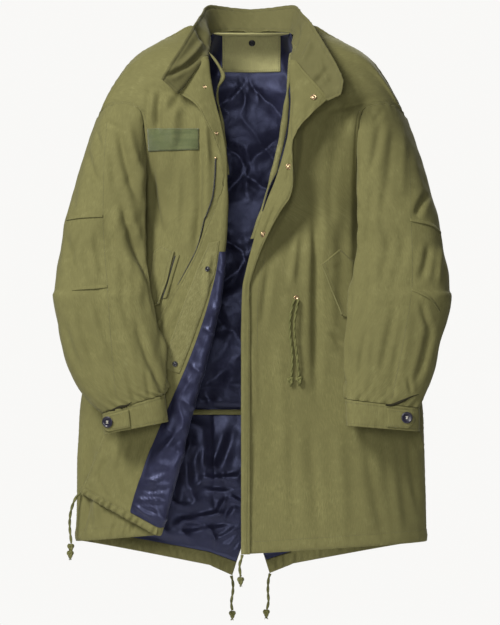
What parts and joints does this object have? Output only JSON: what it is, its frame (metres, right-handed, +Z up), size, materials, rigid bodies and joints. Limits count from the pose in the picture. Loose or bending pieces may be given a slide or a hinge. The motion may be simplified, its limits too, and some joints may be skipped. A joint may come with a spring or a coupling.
{
  "type": "padded fishtail parka",
  "caption": "Long padded parka with a spread collar, set-in sleeves, quilted liner and split fishtail back, filled out, its front open and one front edge turned back.",
  "frame": {"origin": "inside the neck, level with the back neck seam, on the centre plane", "axes": "+Z up along the hanging garment, the front faces -Y, the wearer's left is at +X"},
  "size_m": [0.7338, 0.2936, 1.1362],
  "materials": {
    "olive_cotton": "washed matte cotton sateen",
    "navy_satin": "smooth lining satin",
    "green_loop_tape": "fuzzy loop tape",
    "black_enamel": "gloss black enamel",
    "brass": "dull gold",
    "navy_button": "moulded",
    "olive_cord": "braided cotton cord"
  },
  "bodies": {
    "root": {"back_left": "olive_cotton", "back_right": "olive_cotton", "collar": "olive_cotton", "cuff_button_left": "navy_button", "cuff_button_right": "navy_button", "cuff_left": "olive_cotton", "cuff_right": "olive_cotton", "cuff_tab_left": "olive_cotton", "cuff_tab_right": "olive_cotton", "front_left": "olive_cotton", "front_right": "olive_cotton", "front_snap_left_1": "brass", "front_snap_left_2": "brass", "front_snap_right_1": "brass", "front_snap_right_2": "brass", "front_snap_right_3": "brass", "front_turned_left": "olive_cotton", "hem_casing_back_left": "olive_cotton", "hem_casing_back_right": "olive_cotton", "hem_casing_front_left": "olive_cotton", "hem_cord_front_left": "olive_cord", "hem_cord_front_right": "olive_cord", "hem_cord_tail_left": "olive_cord", "hem_cord_tail_right": "olive_cord", "hem_knot_front_left_a": "olive_cord", "hem_knot_front_left_b": "olive_cord", "hem_knot_front_right": "olive_cord", "hem_knot_tail_left": "olive_cord", "hem_knot_tail_right": "olive_cord", "liner_back": "navy_satin", "liner_edge_left": "olive_cotton", "liner_edge_right": "olive_cotton", "liner_hem_binding": "olive_cotton", "liner_snap_1": "black_enamel", "liner_snap_2": "black_enamel", "liner_strip_left": "olive_cotton", "liner_yoke": "olive_cotton", "lining_back_left": "navy_satin", "lining_back_right": "navy_satin", "lining_turned_left": "navy_satin", "name_patch": "green_loop_tape", "pocket_flap_left": "olive_cotton", "pocket_flap_right": "olive_cotton", "pocket_welt_left": "olive_cotton", "sleeve_inner_left": "olive_cotton", "sleeve_outer_left": "olive_cotton", "sleeve_inner_right": "olive_cotton", "sleeve_outer_right": "olive_cotton", "storm_flap_right": "olive_cotton", "waist_cord_a": "olive_cord", "waist_cord_b": "olive_cord", "waist_eyelet": "brass", "waist_knot_a": "olive_cord", "waist_knot_b": "olive_cord", "yoke_snap": "black_enamel"}
  },
  "joints": []
}
